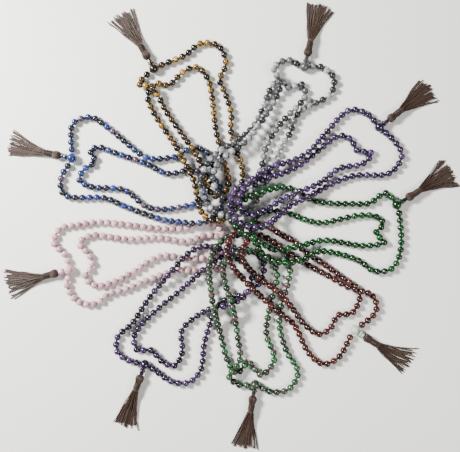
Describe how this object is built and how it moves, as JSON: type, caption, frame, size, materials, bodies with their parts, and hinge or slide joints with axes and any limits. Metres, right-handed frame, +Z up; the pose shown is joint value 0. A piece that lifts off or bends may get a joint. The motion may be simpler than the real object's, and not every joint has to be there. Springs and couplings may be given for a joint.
{
  "type": "mala prayer beads",
  "caption": "Knotted gemstone prayer bead loops laid out like a wheel and piled over each other in the middle, each with a guru bead, a tower bead and a cord tassel.",
  "frame": {"origin": "on the table surface, in the middle of the whole set", "axes": "+Z up from the table; X and Y lie in the table, +Y away from the viewer of the front view"},
  "size_m": [0.497, 0.4948, 0.0403],
  "materials": {
    "rose_quartz": "polished, glossy",
    "dark_purple": "polished, glossy",
    "ruby_zoisite": "polished, glossy",
    "red_jasper": "polished, glossy",
    "blue_sodalite": "polished, glossy",
    "tiger_eye": "polished, glossy",
    "black_vein_quartz": "polished, glossy",
    "green_aventurine": "polished, glossy",
    "amethyst": "polished, glossy",
    "guru_stone": "polished, pale and slightly see-through",
    "cord": "waxed twisted cord with a soft sheen"
  },
  "bodies": {
    "rose_quartz_mala": {"rose_quartz_first_strand": "rose_quartz", "rose_quartz_second_strand": "rose_quartz", "rose_quartz_guru_bead": "rose_quartz"},
    "rose_quartz_tassel": {"rose_quartz_tower_bead": "rose_quartz", "rose_quartz_tassel_head": "cord", "rose_quartz_tassel_skirt": "cord"},
    "dark_purple_mala": {"dark_purple_first_strand": "dark_purple", "dark_purple_second_strand": "dark_purple", "dark_purple_guru_bead": "dark_purple"},
    "dark_purple_tassel": {"dark_purple_tower_bead": "dark_purple", "dark_purple_tassel_head": "cord", "dark_purple_tassel_skirt": "cord"},
    "ruby_zoisite_mala": {"ruby_zoisite_first_strand": "ruby_zoisite", "ruby_zoisite_second_strand": "ruby_zoisite", "ruby_zoisite_guru_bead": "ruby_zoisite"},
    "ruby_zoisite_tassel": {"ruby_zoisite_tower_bead": "ruby_zoisite", "ruby_zoisite_tassel_head": "cord", "ruby_zoisite_tassel_skirt": "cord"},
    "red_jasper_mala": {"red_jasper_first_strand": "red_jasper", "red_jasper_second_strand": "red_jasper", "red_jasper_guru_bead": "guru_stone"},
    "red_jasper_tassel": {"red_jasper_tower_bead": "guru_stone", "red_jasper_tassel_head": "cord", "red_jasper_tassel_skirt": "cord"},
    "blue_sodalite_mala": {"blue_sodalite_first_strand": "blue_sodalite", "blue_sodalite_second_strand": "blue_sodalite", "blue_sodalite_guru_bead": "blue_sodalite"},
    "blue_sodalite_tassel": {"blue_sodalite_tower_bead": "blue_sodalite", "blue_sodalite_tassel_head": "cord", "blue_sodalite_tassel_skirt": "cord"},
    "tiger_eye_mala": {"tiger_eye_first_strand": "tiger_eye", "tiger_eye_second_strand": "tiger_eye", "tiger_eye_guru_bead": "tiger_eye"},
    "tiger_eye_tassel": {"tiger_eye_tower_bead": "tiger_eye", "tiger_eye_tassel_head": "cord", "tiger_eye_tassel_skirt": "cord"},
    "black_vein_quartz_mala": {"black_vein_quartz_first_strand": "black_vein_quartz", "black_vein_quartz_second_strand": "black_vein_quartz", "black_vein_quartz_guru_bead": "black_vein_quartz"},
    "black_vein_quartz_tassel": {"black_vein_quartz_tower_bead": "black_vein_quartz", "black_vein_quartz_tassel_head": "cord", "black_vein_quartz_tassel_skirt": "cord"},
    "green_aventurine_mala": {"green_aventurine_first_strand": "green_aventurine", "green_aventurine_second_strand": "green_aventurine", "green_aventurine_guru_bead": "green_aventurine"},
    "green_aventurine_tassel": {"green_aventurine_tower_bead": "green_aventurine", "green_aventurine_tassel_head": "cord", "green_aventurine_tassel_skirt": "cord"},
    "amethyst_mala": {"amethyst_first_strand": "amethyst", "amethyst_second_strand": "amethyst", "amethyst_guru_bead": "amethyst"},
    "amethyst_tassel": {"amethyst_tower_bead": "amethyst", "amethyst_tassel_head": "cord", "amethyst_tassel_skirt": "cord"}
  },
  "joints": [
    {"name": "swing_rose_quartz_tassel", "type": "hinge", "parent": "rose_quartz_mala", "child": "rose_quartz_tassel", "pos_m": [-0.17631, -0.04773, 0.0055], "axis": [0, 0, 1], "range_deg": [-30, 15]},
    {"name": "lift_dark_purple", "type": "slide", "parent": "rose_quartz_mala", "child": "dark_purple_mala", "axis": [0, 0, 1], "range_m": [0, 0.06]},
    {"name": "swing_dark_purple_tassel", "type": "hinge", "parent": "dark_purple_mala", "child": "dark_purple_tassel", "pos_m": [-0.09331, -0.15173, 0.0055], "axis": [0, 0, 1], "range_deg": [-25, 25]},
    {"name": "lift_ruby_zoisite", "type": "slide", "parent": "dark_purple_mala", "child": "ruby_zoisite_mala", "axis": [0, 0, 1], "range_m": [0, 0.06]},
    {"name": "swing_ruby_zoisite_tassel", "type": "hinge", "parent": "ruby_zoisite_mala", "child": "ruby_zoisite_tassel", "pos_m": [0.02769, -0.17373, 0.0055], "axis": [0, 0, 1], "range_deg": [-20, 20]},
    {"name": "lift_red_jasper", "type": "slide", "parent": "ruby_zoisite_mala", "child": "red_jasper_mala", "axis": [0, 0, 1], "range_m": [0, 0.06]},
    {"name": "swing_red_jasper_tassel", "type": "hinge", "parent": "red_jasper_mala", "child": "red_jasper_tassel", "pos_m": [0.13669, -0.11373, 0.0055], "axis": [0, 0, 1], "range_deg": [-30, 15]},
    {"name": "lift_blue_sodalite", "type": "slide", "parent": "red_jasper_mala", "child": "blue_sodalite_mala", "axis": [0, 0, 1], "range_m": [0, 0.06]},
    {"name": "swing_blue_sodalite_tassel", "type": "hinge", "parent": "blue_sodalite_mala", "child": "blue_sodalite_tassel", "pos_m": [-0.17331, 0.07427, 0.0055], "axis": [0, 0, 1], "range_deg": [-22, 18]},
    {"name": "lift_tiger_eye", "type": "slide", "parent": "blue_sodalite_mala", "child": "tiger_eye_mala", "axis": [0, 0, 1], "range_m": [0, 0.06]},
    {"name": "swing_tiger_eye_tassel", "type": "hinge", "parent": "tiger_eye_mala", "child": "tiger_eye_tassel", "pos_m": [-0.08331, 0.17227, 0.0055], "axis": [0, 0, 1], "range_deg": [-30, 30]},
    {"name": "lift_black_vein_quartz", "type": "slide", "parent": "tiger_eye_mala", "child": "black_vein_quartz_mala", "axis": [0, 0, 1], "range_m": [0, 0.06]},
    {"name": "swing_black_vein_quartz_tassel", "type": "hinge", "parent": "black_vein_quartz_mala", "child": "black_vein_quartz_tassel", "pos_m": [0.08169, 0.17427, 0.0055], "axis": [0, 0, 1], "range_deg": [-18, 22]},
    {"name": "lift_green_aventurine", "type": "slide", "parent": "black_vein_quartz_mala", "child": "green_aventurine_mala", "axis": [0, 0, 1], "range_m": [0, 0.06]},
    {"name": "swing_green_aventurine_tassel", "type": "hinge", "parent": "green_aventurine_mala", "child": "green_aventurine_tassel", "pos_m": [0.18269, 0.02327, 0.0055], "axis": [0, 0, 1], "range_deg": [-25, 20]},
    {"name": "lift_amethyst", "type": "slide", "parent": "green_aventurine_mala", "child": "amethyst_mala", "axis": [0, 0, 1], "range_m": [0, 0.06]},
    {"name": "swing_amethyst_tassel", "type": "hinge", "parent": "amethyst_mala", "child": "amethyst_tassel", "pos_m": [0.16369, 0.10827, 0.0055], "axis": [0, 0, 1], "range_deg": [-20, 25]}
  ]
}
